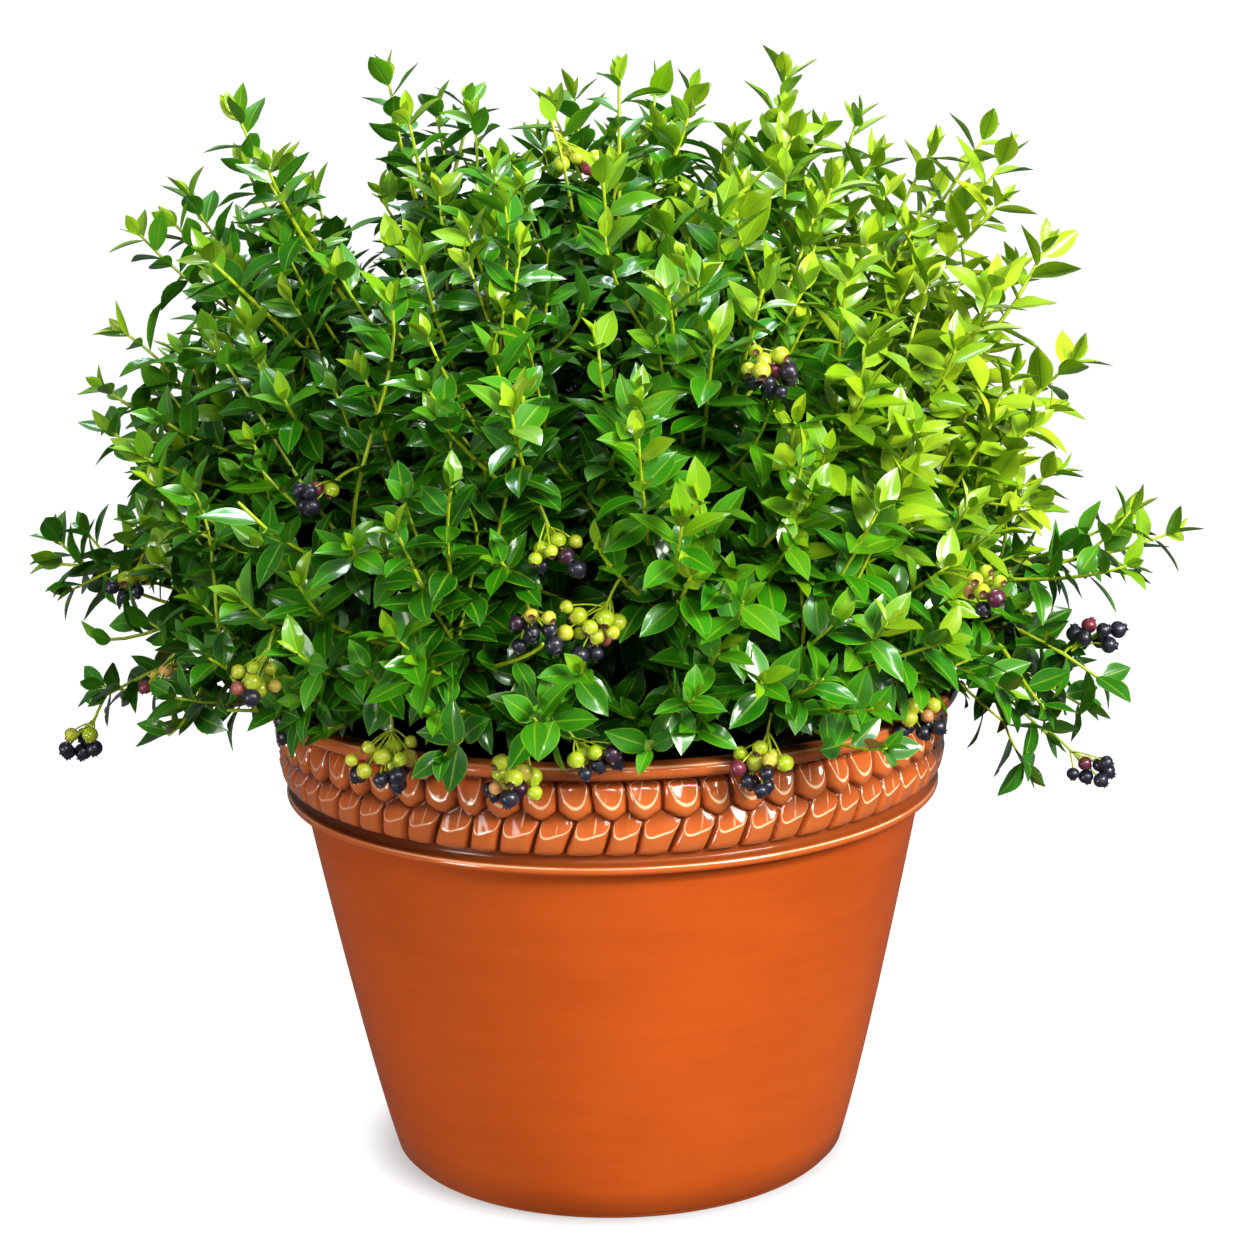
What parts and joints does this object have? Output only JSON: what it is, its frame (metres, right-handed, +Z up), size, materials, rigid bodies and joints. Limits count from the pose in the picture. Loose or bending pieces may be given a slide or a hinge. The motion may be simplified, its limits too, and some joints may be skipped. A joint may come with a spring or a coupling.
{
  "type": "potted blueberry bush",
  "caption": "Dense, many-stemmed blueberry bush in fruit, growing in a round tapered pot of glazed orange clay with a plaited relief band under its rim.",
  "frame": {"origin": "middle of the pot's foot, on the surface that the pot stands on", "axes": "+Z up out of the pot; -Y towards the side that was pictured; +X to that viewer's right"},
  "size_m": [0.6881, 0.5597, 0.655],
  "materials": {
    "glazed_clay": "gloss",
    "soil": "matte",
    "bark": "matte",
    "foliage": "satin",
    "fruit": "satin"
  },
  "bodies": {
    "root": {"berries_01": "fruit", "berries_02": "fruit", "berries_03": "fruit", "berries_04": "fruit", "berries_05": "fruit", "berries_06": "fruit", "berries_07": "fruit", "berries_08": "fruit", "berries_09": "fruit", "berries_10": "fruit", "berries_11": "fruit", "berries_12": "fruit", "berries_13": "fruit", "berries_14": "fruit", "berries_15": "fruit", "berries_16": "fruit", "berries_17": "fruit", "berries_18": "fruit", "berries_19": "fruit", "berries_20": "fruit", "branch_01": "foliage", "branch_02": "foliage", "branch_03": "foliage", "branch_04": "foliage", "branch_05": "foliage", "branch_06": "foliage", "branch_07": "foliage", "branch_08": "foliage", "branch_09": "foliage", "branch_10": "foliage", "branch_11": "foliage", "branch_12": "foliage", "branch_13": "foliage", "branch_14": "foliage", "branch_15": "foliage", "branch_16": "foliage", "branch_17": "foliage", "branch_18": "foliage", "branch_19": "foliage", "branch_20": "foliage", "branch_21": "foliage", "branch_22": "foliage", "branch_23": "foliage", "branch_24": "foliage", "branch_25": "foliage", "branch_26": "foliage", "branch_27": "foliage", "branch_28": "foliage", "branch_29": "foliage", "branch_30": "foliage", "branch_31": "foliage", "branch_32": "foliage", "branch_33": "foliage", "branch_34": "foliage", "crown": "bark", "pot": "glazed_clay", "soil": "soil"}
  },
  "joints": []
}
